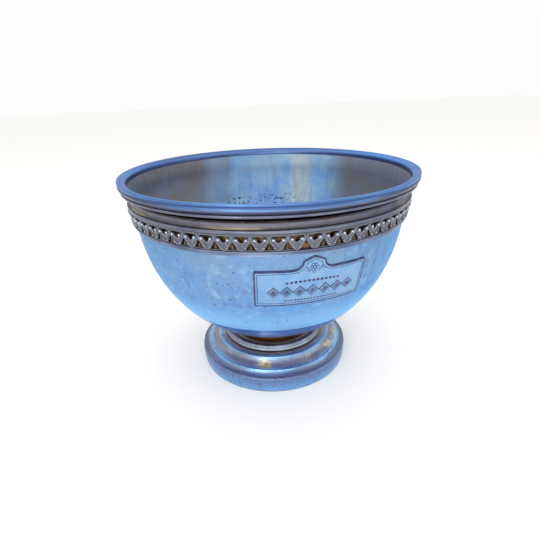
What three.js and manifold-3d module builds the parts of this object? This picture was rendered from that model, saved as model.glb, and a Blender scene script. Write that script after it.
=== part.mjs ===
// A footed champagne bowl in silvered pewter: a spun bowl with a rolled rim, a pierced gallery
// around its brow, a label plaque on its front and a stepped foot held on by a central stud.
// Millimetres, +Z up. The origin is the centre of the foot's underside, and the plaque faces -Y.
import * as THREE from "three";
import { mergeVertices } from "three/addons/utils/BufferGeometryUtils.js";
import Module from "manifold-3d";

const wasm = await Module();
wasm.setup();

// Driving dimensions
const RIM_RADIUS = 190;
const RIM_TOP = 281.4;
const BOWL_RADIUS = 175.5; // outside, at the equator
const BOWL_EQUATOR = 248; // height of the widest circle
const BOWL_DEPTH = 196.5; // from the equator down to the bottom, outside
const BOWL_FULLNESS = 2.12; // 2 is an ellipse; more is squarer
const BOWL_WALL = 1.6;
const FLARE_START = 252; // the wall turns outwards above this height
const SHELL_TOP = 272;
const FLARE_OUT = 5.5; // how far it has turned out at the shell's top
const FLARE_POWER = 1.8;
const MOTIFS = 64; // around the gallery
const GALLERY_PHASE = -0.85; // degrees from the plaque's centre line to the nearest motif
const GALLERY_SEGMENTS = 4;
const JOINT_GAP = 0.3; // between soldered pieces
const SEAM_AZIMUTH = -37; // degrees from the plaque to the cove band's butt joint
const FOOT_RADIUS = 108.9;
const SKIRT_HEIGHT = 21.3;
const DOME_TOP = 40;
const DOME_WALL = 2;
const NECK_RADIUS = 63.4;
const STUD_RADIUS = 4;

const TURNED_FACETS = MOTIFS; // one facet for each motif, so that every turned ring lines up
const FOOT_FACETS = 40;
const SMALL_FACETS = 24;
const PITCH = (2 * Math.PI) / MOTIFS;
const radians = THREE.MathUtils.degToRad;

// Materials
const silver = (color, roughness) =>
  new THREE.MeshStandardMaterial({ color, roughness, metalness: 1 });
const bowlSilver = silver(0x8fb4dc, 0.34);
const trimSilver = silver(0x7f8fb8, 0.38);
const darkSilver = silver(0x6c6a78, 0.45);
const fixingSteel = silver(0x8a8c90, 0.4);

// Profiles are lists of [radius, height]; a ring's outline runs anticlockwise and closes itself.
function arc(radius, height, halfWidth, halfHeight, fromDegrees, toDegrees, steps) {
  const points = [];
  for (let i = 0; i <= steps; i++) {
    const angle = radians(fromDegrees + ((toDegrees - fromDegrees) * i) / steps);
    points.push([
      radius + halfWidth * Math.cos(angle),
      height + halfHeight * Math.sin(angle),
    ]);
  }
  return points;
}

// The bowl's outer surface: bowlRadius and bowlHeight up to the equator, shellRadius with the flare
function bowlRadius(height) {
  const drop = Math.max(0, BOWL_EQUATOR - height) / BOWL_DEPTH;
  return BOWL_RADIUS * (1 - drop ** BOWL_FULLNESS) ** (1 / BOWL_FULLNESS);
}

function bowlHeight(radius) {
  const share = (1 - (radius / BOWL_RADIUS) ** BOWL_FULLNESS) ** (1 / BOWL_FULLNESS);
  return BOWL_EQUATOR - BOWL_DEPTH * share;
}

function shellRadius(height) {
  const rise = Math.max(0, height - FLARE_START) / (SHELL_TOP - FLARE_START);
  return bowlRadius(height) + FLARE_OUT * rise ** FLARE_POWER;
}

function turnedGeometry(profile, facets, closed = true) {
  const points = profile.map(([radius, height]) => new THREE.Vector2(radius, height));
  if (closed) points.push(points[0].clone());
  return new THREE.LatheGeometry(points, facets).rotateX(Math.PI / 2);
}

// manifold-3d only joins and cuts
function solidOf(geometry) {
  const bare = geometry.clone();
  bare.deleteAttribute("normal");
  bare.deleteAttribute("uv");
  const merged = mergeVertices(bare, 1e-4);
  return new wasm.Manifold(
    new wasm.Mesh({
      numProp: 3,
      vertProperties: new Float32Array(merged.attributes.position.array),
      triVerts: new Uint32Array(merged.index.array),
    }),
  );
}

function geometryOf(solid) {
  const { vertProperties, triVerts } = solid.getMesh();
  return new THREE.BufferGeometry()
    .setAttribute("position", new THREE.BufferAttribute(vertProperties, 3))
    .setIndex(new THREE.BufferAttribute(triVerts, 1));
}

function named(name, geometry, material) {
  const mesh = new THREE.Mesh(geometry, material);
  mesh.name = name;
  return mesh;
}

// A prism along -Y whose outline is drawn in x and z, from y = -near to y = -far
function prism(shape, near, far) {
  return new THREE.ExtrudeGeometry(shape, {
    depth: far - near,
    bevelEnabled: false,
    curveSegments: 8,
  })
    .rotateX(Math.PI / 2)
    .translate(0, -near, 0);
}

function polygon(points) {
  return new THREE.Shape(points.map(([x, z]) => new THREE.Vector2(x, z)));
}

// ---- Bowl and rim ----

function bowlShell() {
  const steps = 11;
  const outer = [];
  const inner = [];
  for (let i = 0; i <= steps; i++) {
    const angle = (Math.PI / 2) * (i / steps);
    const share = Math.sin(angle) ** (2 / BOWL_FULLNESS);
    const drop = Math.cos(angle) ** (2 / BOWL_FULLNESS);
    outer.push([BOWL_RADIUS * share, BOWL_EQUATOR - BOWL_DEPTH * drop]);
    inner.push([
      (BOWL_RADIUS - BOWL_WALL) * share,
      BOWL_EQUATOR - (BOWL_DEPTH - BOWL_WALL) * drop,
    ]);
  }
  for (const height of [FLARE_START, 259, 266, SHELL_TOP]) {
    outer.push([shellRadius(height), height]);
    inner.push([shellRadius(height) - BOWL_WALL, height]);
  }
  return turnedGeometry([...outer, ...inner.reverse()], TURNED_FACETS, false);
}

// The lip: a top that rises gently outward to a round ridge, and a half-round roll below the ridge
const RIDGE_ROUND = 1.8;
const RIDGE_RADIUS = RIM_RADIUS - RIDGE_ROUND;
const RIDGE_CENTRE = RIM_TOP - RIDGE_ROUND;

function rimLip() {
  const shellEdge = shellRadius(SHELL_TOP);
  const underside = SHELL_TOP - 1.4;
  return turnedGeometry(
    [
      [shellEdge + JOINT_GAP + 0.6, underside],
      [187, underside],
      [189.2, 273.4],
      [189.9, 275.6],
      [189.3, 277.6],
      ...arc(RIDGE_RADIUS, RIDGE_CENTRE, RIDGE_ROUND, RIDGE_ROUND, -30, 150, 5),
      [184, 279.8],
      [180.8, 278.4],
      [shellEdge - BOWL_WALL, 276.8],
      [shellEdge - BOWL_WALL, SHELL_TOP + JOINT_GAP],
      [shellEdge + JOINT_GAP + 0.6, SHELL_TOP + JOINT_GAP],
    ],
    TURNED_FACETS,
  );
}

function rimBead() {
  return turnedGeometry(
    [[182, 266.4], ...arc(185.2, 268.3, 2.4, 1.9, -90, 90, 4), [182, 270.2]],
    TURNED_FACETS,
  );
}

function coveBand() {
  const outer = [
    [180.6, 254.2],
    [178.9, 255.6],
    [178.3, 258.2],
    [178.8, 260.8],
    [180.2, 262.6],
  ];
  const back = (height) => [shellRadius(height) + 0.4, height];
  const ring = solidOf(turnedGeometry([...outer, back(262.6), back(258), back(254.2)], TURNED_FACETS));
  const slit = solidOf(
    new THREE.BoxGeometry(JOINT_GAP, 20, 20)
      .translate(0, -180, 258)
      .rotateZ(radians(SEAM_AZIMUTH)),
  );
  return geometryOf(ring.subtract(slit));
}

// ---- Gallery ----

const GALLERY_TOP = 249.7;
const GALLERY_BOTTOM = 232.3;
const GALLERY_TOP_RADIUS = 181.6;
const GALLERY_BOTTOM_RADIUS = 178.9;
const GALLERY_THICKNESS = 2;

// Upper windows sit in the mouths of the hearts, lower ones between their feet
function windowShapes() {
  const upper = polygon([
    [0, 239],
    [5, 247.6],
    [-5, 247.6],
  ]);
  const lower = polygon([
    [-4.8, 234.2],
    [4.8, 234.2],
    [0, 242.4],
  ]);
  return { upper, lower };
}

function galleryRing() {
  const strip = turnedGeometry(
    [
      [GALLERY_BOTTOM_RADIUS, GALLERY_BOTTOM],
      [GALLERY_TOP_RADIUS, GALLERY_TOP],
      [GALLERY_TOP_RADIUS - GALLERY_THICKNESS, GALLERY_TOP],
      [GALLERY_BOTTOM_RADIUS - GALLERY_THICKNESS, GALLERY_BOTTOM],
    ],
    TURNED_FACETS,
  ).rotateZ(radians(GALLERY_PHASE) + PITCH / 2);
  const { upper, lower } = windowShapes();
  const cutters = [];
  for (let i = 0; i < MOTIFS; i++) {
    const turn = radians(GALLERY_PHASE) + i * PITCH;
    cutters.push(solidOf(prism(upper, 170, 190).rotateZ(turn)));
    cutters.push(solidOf(prism(lower, 170, 190).rotateZ(turn + PITCH / 2)));
  }
  return solidOf(strip).subtract(wasm.Manifold.union(cutters));
}

// One quarter of the gallery, cut between two motifs
function gallerySegment(ring, index) {
  const half = Math.PI / GALLERY_SEGMENTS;
  const middle = radians(GALLERY_PHASE) + (2 * index + 1) * half;
  const reach = 300;
  const wedge = polygon([
    [0, JOINT_GAP],
    [reach * Math.sin(half), reach * Math.cos(half) + JOINT_GAP],
    [-reach * Math.sin(half), reach * Math.cos(half) + JOINT_GAP],
  ]);
  const block = new THREE.ExtrudeGeometry(wedge, { depth: 40, bevelEnabled: false })
    .translate(0, 0, GALLERY_BOTTOM - 10)
    .rotateZ(Math.PI + middle);
  return geometryOf(ring.intersect(solidOf(block)));
}

function galleryTopRail() {
  return turnedGeometry(
    [
      [176.2, 250],
      [181.8, 250],
      [182.2, 251],
      [182, 253],
      [181.2, 253.8],
      [176.2, 253.8],
    ],
    TURNED_FACETS,
  );
}

function galleryBottomRail() {
  return turnedGeometry(
    [
      [175.5, 227.8],
      [177.6, 227.8],
      [178.5, 228.8],
      [178.3, 229.9],
      [179.3, 230.6],
      [179.5, 231.5],
      [178.8, 232],
      [176, 232],
    ],
    TURNED_FACETS,
  );
}

// ---- Label plaque: a thin plate with a raised border and plain ornament, no lettering ----

const PLAQUE_HALF_WIDTH = 60;
const PLAQUE_BOTTOM = 163.7;
const PLAQUE_TOP = 208.5;
const PLAQUE_CREST_RADIUS = 14.5;
const BORDER_WIDTH = 2.2;
const PLATE_FACE = 1; // heights above the bowl
const BORDER_FACE = 1.9;
const ORNAMENT_FACE = 2;

function plaqueOutline(inset) {
  const half = PLAQUE_HALF_WIDTH - inset;
  const top = PLAQUE_TOP - inset;
  const crest = PLAQUE_CREST_RADIUS - inset;
  const outline = new THREE.Shape();
  outline.moveTo(-half, PLAQUE_BOTTOM + inset);
  outline.lineTo(half, PLAQUE_BOTTOM + inset);
  outline.lineTo(half, top);
  outline.lineTo(crest, top);
  outline.absarc(0, top, crest, 0, Math.PI, false);
  outline.lineTo(-half, top);
  outline.closePath();
  return outline;
}

// The part of a layer over the bowl, between two heights above it, that lies inside a shape
function bowlLayer(face) {
  const heights = [156, 166, 176, 186, 196, 206, 216, 226];
  const offset = (height, by) => [bowlRadius(height) + by, height];
  return solidOf(
    turnedGeometry(
      [
        ...heights.map((height) => offset(height, face)),
        ...heights.reverse().map((height) => offset(height, JOINT_GAP)),
      ],
      TURNED_FACETS,
    ),
  );
}

function stampedOn(face, shapes) {
  const cutters = shapes.map((shape) => solidOf(prism(shape, 100, 200)));
  return bowlLayer(face).intersect(wasm.Manifold.union(cutters));
}

function ornamentShapes() {
  const shapes = [];
  const ornamentCentre = 182.5;
  for (let i = -3; i <= 3; i++) {
    const x = i * 14.8;
    shapes.push(
      polygon([
        [x, ornamentCentre - 5.5],
        [x + 5.2, ornamentCentre],
        [x, ornamentCentre + 5.5],
        [x - 5.2, ornamentCentre],
      ]),
    );
  }
  const crest = new THREE.Shape();
  crest.absarc(0, 209, 7, 0, 2 * Math.PI, false);
  shapes.push(crest);
  return shapes;
}

function labelPlaque() {
  const border = plaqueOutline(0);
  border.holes.push(new THREE.Path(plaqueOutline(BORDER_WIDTH).getPoints(8)));
  const plate = stampedOn(PLATE_FACE, [plaqueOutline(0)]);
  const raisedBorder = stampedOn(BORDER_FACE, [border]);
  const ornament = stampedOn(ORNAMENT_FACE, ornamentShapes());
  return geometryOf(plate.add(raisedBorder).add(ornament));
}

// ---- Foot ----

function footNeck() {
  const floor = DOME_TOP + JOINT_GAP;
  const bore = STUD_RADIUS + 2;
  const seat = (radius) => [radius, bowlHeight(radius) - 0.5];
  return turnedGeometry(
    [
      [bore, floor],
      [NECK_RADIUS, floor],
      [NECK_RADIUS, 46],
      [60, 47.6],
      ...arc(61, 53, 7.6, 4.6, 245, 135, 4),
      seat(57),
      seat(48),
      [49, 44],
      [bore, 44],
    ],
    FOOT_FACETS,
  );
}

function footNeckRing() {
  return turnedGeometry(arc(68.6, 44.8, 4.8, 4.4, 22.5, 337.5, 7), FOOT_FACETS);
}

// The dome's stepped outline from its brim up to the flat under the neck
const DOME_OUTLINE = [
  [108.3, 22.8],
  [104.6, 24],
  [101.2, 26.2],
  [99.6, 28.8],
  [95.5, 29.8],
  [88.5, 31.6],
  [84.4, 34.4],
  [82.3, 37.4],
  [79.6, 38.9],
  [75, 39.2],
  [74, DOME_TOP],
];

function footDome() {
  const bore = STUD_RADIUS + 1;
  const underside = DOME_OUTLINE.map(([radius, height], i) =>
    i ? [radius - DOME_WALL * 0.8, height - DOME_WALL] : [radius, height - 1.2],
  );
  return turnedGeometry(
    [
      ...DOME_OUTLINE,
      [bore, DOME_TOP],
      [bore, DOME_TOP - DOME_WALL],
      ...underside.reverse(),
    ],
    FOOT_FACETS,
  );
}

function footBaseRing() {
  return turnedGeometry(
    [
      [102.6, 0],
      [107.2, 0],
      [108.5, 8],
      [FOOT_RADIUS, 19.6],
      [108.4, SKIRT_HEIGHT],
      [104.4, SKIRT_HEIGHT],
      [104.4, 4],
    ],
    FOOT_FACETS,
  );
}

// ---- Fixing: a stud soldered under the bowl, with a washer and a nut inside the foot ----

function bowlStud() {
  return turnedGeometry(
    [
      [0, 24],
      [STUD_RADIUS, 24],
      [STUD_RADIUS, 48],
      [20, 48],
      [20, bowlHeight(20) - 0.4],
      [0, BOWL_EQUATOR - BOWL_DEPTH - 0.4],
    ],
    SMALL_FACETS,
    false,
  );
}

const WASHER_TOP = DOME_TOP - DOME_WALL - JOINT_GAP;
const WASHER_THICKNESS = 2.4;

function footWasher() {
  const bore = STUD_RADIUS + 0.4;
  return turnedGeometry(
    [
      [bore, WASHER_TOP - WASHER_THICKNESS],
      [22, WASHER_TOP - WASHER_THICKNESS],
      [22, WASHER_TOP],
      [bore, WASHER_TOP],
    ],
    SMALL_FACETS,
  );
}

function footNut() {
  const acrossCorners = 15;
  const thickness = 6.5;
  const top = WASHER_TOP - WASHER_THICKNESS - JOINT_GAP;
  const hexagon = new THREE.CylinderGeometry(acrossCorners / 2, acrossCorners / 2, thickness, 6)
    .rotateX(Math.PI / 2)
    .translate(0, 0, top - thickness / 2);
  const bore = new THREE.CylinderGeometry(STUD_RADIUS + 0.4, STUD_RADIUS + 0.4, 20, SMALL_FACETS)
    .rotateX(Math.PI / 2)
    .translate(0, 0, top);
  return geometryOf(solidOf(hexagon).subtract(solidOf(bore)));
}

// ---- Assembly ----

const bucket = new THREE.Group();
bucket.add(
  named("bowl_shell", bowlShell(), bowlSilver),
  named("rim_lip", rimLip(), trimSilver),
  named("rim_bead", rimBead(), trimSilver),
  named("cove_band", coveBand(), darkSilver),
  named("gallery_top_rail", galleryTopRail(), trimSilver),
  named("gallery_bottom_rail", galleryBottomRail(), trimSilver),
  named("label_plaque", labelPlaque(), bowlSilver),
  named("foot_neck", footNeck(), darkSilver),
  named("foot_neck_ring", footNeckRing(), trimSilver),
  named("foot_dome", footDome(), trimSilver),
  named("foot_base_ring", footBaseRing(), trimSilver),
  named("bowl_stud", bowlStud(), fixingSteel),
  named("foot_washer", footWasher(), fixingSteel),
  named("foot_nut", footNut(), fixingSteel),
);
const ring = galleryRing();
for (let i = 0; i < GALLERY_SEGMENTS; i++)
  bucket.add(named(`gallery_segment_${i + 1}`, gallerySegment(ring, i), darkSilver));

export default bucket;
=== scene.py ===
"""A footed champagne bowl in silvered metal, seen from slightly above on a pale studio floor."""
import math

import bmesh
import bpy
import numpy as np
from mathutils import Matrix, Vector, noise


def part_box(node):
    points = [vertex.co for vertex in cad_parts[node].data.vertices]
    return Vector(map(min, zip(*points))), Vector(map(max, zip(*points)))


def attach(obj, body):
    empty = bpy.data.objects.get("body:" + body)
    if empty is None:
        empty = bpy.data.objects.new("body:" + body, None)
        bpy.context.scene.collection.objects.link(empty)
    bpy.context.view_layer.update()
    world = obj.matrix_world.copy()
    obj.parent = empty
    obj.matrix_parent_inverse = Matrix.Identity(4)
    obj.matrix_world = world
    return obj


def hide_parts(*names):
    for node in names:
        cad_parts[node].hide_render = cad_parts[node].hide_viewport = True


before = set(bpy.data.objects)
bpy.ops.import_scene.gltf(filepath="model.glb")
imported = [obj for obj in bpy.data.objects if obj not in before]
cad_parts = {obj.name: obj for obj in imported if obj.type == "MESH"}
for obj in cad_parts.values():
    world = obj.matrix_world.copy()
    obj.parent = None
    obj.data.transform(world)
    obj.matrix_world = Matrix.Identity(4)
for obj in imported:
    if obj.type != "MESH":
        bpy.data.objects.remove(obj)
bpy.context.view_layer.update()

# ---- Driving dimensions, in millimetres; +Z up, the plaque faces -Y ----

MM = 0.001  # one millimetre in metres
RIM_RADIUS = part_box("rim_lip")[1].x / MM
RIM_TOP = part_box("rim_lip")[1].z / MM
RIDGE_ROUND = 1.8  # radius of the lip's round ridge
FOOT_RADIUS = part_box("foot_base_ring")[1].x / MM
SKIRT_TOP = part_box("foot_base_ring")[1].z / MM
DOME_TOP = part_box("foot_dome")[1].z / MM
BOWL_RADIUS = 175.5  # outside, at the equator
BOWL_EQUATOR = 248  # height of the widest circle
BOWL_DEPTH = 196.5  # from the equator down to the bottom, outside
BOWL_FULLNESS = 2.12  # 2 is an ellipse; more is squarer
BOWL_WALL = 1.6
FLARE_START = 252  # the wall turns outwards above this height
SHELL_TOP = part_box("bowl_shell")[1].z / MM
FLARE_OUT = 5.5  # how far it has turned out at the shell's top
FLARE_POWER = 1.8
MOTIFS = 64  # hearts around the gallery
QUARTERS = 4
GALLERY_PHASE = -0.85  # degrees from the plaque's centre line to the nearest heart
GALLERY_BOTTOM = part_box("gallery_segment_1")[0].z / MM
GALLERY_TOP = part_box("gallery_segment_1")[1].z / MM
GALLERY_BOTTOM_RADIUS = 178.9
GALLERY_TOP_RADIUS = 181.6
SEAM_AZIMUTH = -37  # degrees from the plaque to the cove's butt joint
SEAM_GAP = 0.4
PLAQUE_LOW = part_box("label_plaque")[0].z / MM
PLAQUE_HALF_WIDTH = 61.3
PLAQUE_RADIUS = 169  # the plaque tapers half as fast as the bowl about this radius
PLAQUE_SHOULDER = 208.5  # height of the plaque's straight top edge
CREST_TOP = 223.2
PLATE_RISE = 1.0  # the plaque's face above the bowl

FRONT = -math.pi / 2  # the direction of the plaque
TURN_STEPS = 256  # facets round a turned piece
WALL_STEPS = 72  # from the bowl's bottom to its equator


def bowl_radius(height):
    """The outside of the bowl at a height."""
    drop = max(0, BOWL_EQUATOR - height) / BOWL_DEPTH
    rise = max(0, height - FLARE_START) / (SHELL_TOP - FLARE_START)
    return BOWL_RADIUS * (1 - drop**BOWL_FULLNESS) ** (1 / BOWL_FULLNESS) + FLARE_OUT * rise**FLARE_POWER


def bowl_slope(height):
    """The outward normal of the bowl at a height, as (radial part, vertical part)."""
    step = 0.5
    along = Vector((bowl_radius(height + step) - bowl_radius(height - step), 2 * step)).normalized()
    return along.y, -along.x


# ---- Mesh helpers ----


def piece_from(name, vertices, faces, material, slot, crease=32, relief=None):
    """A shown piece, in metres, from vertices in millimetres. Relief is each vertex's height on a flat."""
    mesh = bpy.data.meshes.new(name)
    mesh.from_pydata([tuple(MM * c for c in v) for v in vertices], [], faces)
    if relief is not None:
        mesh.attributes.new("relief", "FLOAT", "POINT").data.foreach_set("value", relief)
    tidy = bmesh.new()
    tidy.from_mesh(mesh)
    bmesh.ops.remove_doubles(tidy, verts=tidy.verts, dist=1e-7)
    bmesh.ops.recalc_face_normals(tidy, faces=tidy.faces)
    tidy.to_mesh(mesh)
    tidy.free()
    mesh.shade_smooth()
    mesh.set_sharp_from_angle(angle=math.radians(crease))
    piece = bpy.data.objects.new(name, mesh)
    bpy.context.scene.collection.objects.link(piece)
    piece.data.materials.append(material)
    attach(piece, "root")
    return piece


def arc(radius, height, half_width, half_height, start, end, steps=12):
    """Points of [radius, height] on an elliptical arc between two angles in degrees."""
    angles = np.radians(np.linspace(start, end, steps + 1))
    return [(radius + half_width * math.cos(a), height + half_height * math.sin(a)) for a in angles]


def rounded(corners, steps=4):
    """A closed outline with its corners rounded; a corner is (x, y, rounding)."""
    points = []
    count = len(corners)
    for i, (x, y, rounding) in enumerate(corners):
        corner = Vector((x, y))
        if not rounding:
            points.append((x, y))
            continue
        before = Vector(corners[i - 1][:2]) - corner
        after = Vector(corners[(i + 1) % count][:2]) - corner
        reach = min(rounding, 0.48 * before.length, 0.48 * after.length)
        start = corner + before.normalized() * reach
        end = corner + after.normalized() * reach
        for k in range(steps + 1):
            t = k / steps
            point = start * (1 - t) ** 2 + corner * 2 * t * (1 - t) + end * t**2
            points.append((point.x, point.y))
    return points


def skin(rings, count, closed):
    """The faces between successive rings of count vertices, and from the last to the first if closed."""
    faces = []
    for i in range(rings if closed else rings - 1):
        a, b = i * count, (i + 1) % rings * count
        faces += [(a + k, b + k, b + (k + 1) % count, a + (k + 1) % count) for k in range(count)]
    return faces


def lathe(outline, start=0.0, sweep=2 * math.pi):
    """A closed outline of (radius, height) turned about Z, all the way round or through a sweep."""
    whole = sweep >= 2 * math.pi - 1e-6
    columns = TURN_STEPS if whole else TURN_STEPS + 1
    count = len(outline)
    vertices = []
    for i in range(columns):
        angle = start + sweep * i / TURN_STEPS
        vertices += [(r * math.cos(angle), r * math.sin(angle), z) for r, z in outline]
    faces = skin(columns, count, whole)
    if not whole:
        faces.append(tuple(range(count)))
        faces.append(tuple((columns - 1) * count + k for k in range(count)))
    return vertices, faces


def joined(*solids):
    """Several (vertices, faces) lists as one."""
    vertices, faces = [], []
    for some_vertices, some_faces in solids:
        base = len(vertices)
        vertices += some_vertices
        faces += [tuple(base + i for i in face) for face in some_faces]
    return vertices, faces


def moved(solid, x=0.0, mirror=False):
    """The solid moved sideways, and mirrored first if asked."""
    vertices, faces = solid
    sign = -1 if mirror else 1
    return [(sign * vx + x, vy, vz) for vx, vy, vz in vertices], faces


def section(point, across, half_width, half_height, lift, sides):
    """The vertices round one section of a rod."""
    vertices = []
    for angle in (2 * math.pi * k / sides for k in range(sides)):
        side = half_width * math.cos(angle)
        up = half_height * math.sin(angle)
        vertices.append((point.x + across.x * side, point.y + across.y * side, lift + up))
    return vertices


def tube(path, radii, sides, flatness, lift=0.0):
    """A rod along a flat path of (x, y), with a radius at each point. Flatness scales its thickness."""
    points = [Vector(p) for p in path]
    vertices = []
    last = len(points) - 1
    for i, point in enumerate(points):
        along = (points[min(i + 1, last)] - points[max(i - 1, 0)]).normalized()
        across = Vector((-along.y, along.x))
        vertices += section(point, across, radii[i], radii[i] * flatness, lift, sides)
    faces = skin(last + 1, sides, False)
    faces.append(tuple(range(sides)))
    faces.append(tuple(last * sides + k for k in range(sides)))
    return vertices, faces


def loop_tube(path, radius, sides, flatness):
    """A rod along a closed flat path, mitred at its corners."""
    points = [Vector(p) for p in path]
    vertices = []
    count = len(points)
    for i, point in enumerate(points):
        before = (point - points[i - 1]).normalized()
        after = (points[(i + 1) % count] - point).normalized()
        across = Vector((-(before + after).y, (before + after).x)).normalized()
        stretch = 1 / max(0.5, across.dot(Vector((-after.y, after.x))))
        vertices += section(point, across, radius * stretch, radius * flatness, 0.0, sides)
    return vertices, skin(count, sides, True)


def pearl(x, y, half_width, half_height, rise, lift=0.0, turn=0.0, rings=6, sides=12):
    """An ellipsoid boss, turned in its plane, with its centre at the height lift."""
    vertices = [(x, y, lift + rise)]
    c, s = math.cos(turn), math.sin(turn)
    for i in range(1, rings):
        tilt = math.pi * i / rings
        for k in range(sides):
            angle = 2 * math.pi * k / sides
            px = half_width * math.sin(tilt) * math.cos(angle)
            py = half_height * math.sin(tilt) * math.sin(angle)
            vertices.append((x + c * px - s * py, y + s * px + c * py, lift + rise * math.cos(tilt)))
    vertices.append((x, y, lift - rise))
    faces = [(0, 1 + k, 1 + (k + 1) % sides) for k in range(sides)]
    for i in range(rings - 2):
        a, b = 1 + i * sides, 1 + (i + 1) * sides
        faces += [(a + k, b + k, b + (k + 1) % sides, a + (k + 1) % sides) for k in range(sides)]
    a, end = 1 + (rings - 2) * sides, len(vertices) - 1
    faces += [(a + k, end, a + (k + 1) % sides) for k in range(sides)]
    return vertices, faces


def plate(outlines, thickness, edge):
    """A flat plate from closed outlines, the first one outside and the rest holes, with soft edges.
    Its face is at height 0."""
    curve = bpy.data.curves.new("plate", "CURVE")
    curve.dimensions = "2D"
    curve.fill_mode = "BOTH"
    curve.extrude = thickness / 2 - edge
    curve.bevel_depth = edge
    curve.bevel_resolution = 2
    curve.offset = -edge
    for outline in outlines:
        spline = curve.splines.new("POLY")
        spline.points.add(len(outline) - 1)
        for point, (x, y) in zip(spline.points, outline):
            point.co = (x, y, 0, 1)
        spline.use_cyclic_u = True
    maker = bpy.data.objects.new("plate", curve)
    bpy.context.scene.collection.objects.link(maker)
    graph = bpy.context.evaluated_depsgraph_get()
    mesh = maker.evaluated_get(graph).to_mesh()
    vertices = [(v.co.x, v.co.y, v.co.z - thickness / 2) for v in mesh.vertices]
    faces = [tuple(p.vertices) for p in mesh.polygons]
    bpy.data.objects.remove(maker)
    bpy.data.curves.remove(curve)
    return vertices, faces


def gridded(solid, step):
    """The same solid with its faces cut along a square grid, so that it can be bent."""
    shape = bmesh.new()
    added = [shape.verts.new(v) for v in solid[0]]
    for face in solid[1]:
        shape.faces.new([added[i] for i in face])
    bmesh.ops.remove_doubles(shape, verts=shape.verts, dist=1e-4)
    for axis in (0, 1):
        values = [v.co[axis] for v in shape.verts]
        for line in np.arange(math.ceil(min(values) / step) * step, max(values), step):
            normal = Vector((0, 0, 0))
            normal[axis] = 1
            whole = shape.verts[:] + shape.edges[:] + shape.faces[:]
            bmesh.ops.bisect_plane(shape, geom=whole, dist=1e-5, plane_co=normal * line, plane_no=normal)
    shape.verts.index_update()
    vertices = [tuple(v.co) for v in shape.verts]
    faces = [tuple(v.index for v in f.verts) for f in shape.faces]
    shape.free()
    return vertices, faces


def bent(solid, place):
    """A flat solid wrapped about the bowl. Place gives (radius, angle, z) for (across, height, out)."""
    vertices = []
    for across, height, out in solid[0]:
        radius, angle, z = place(across, height, out)
        vertices.append((radius * math.cos(angle), radius * math.sin(angle), z))
    return vertices, solid[1]


# ---- Material helpers ----

SIDEWAYS = (0.97, -0.25)  # x and y of the line across the camera's view along which the bowl's painted reflections and tones change


def set_stops(ramp, stops):
    """Gives a colour ramp its stops of (position, colour), lowest first."""
    while len(ramp.elements) < len(stops):
        ramp.elements.new(0.5)
    for element, (position, _) in zip(ramp.elements, stops):
        element.position = position
    for element, (_, tone) in zip(ramp.elements, stops):
        element.color = tone


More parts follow.
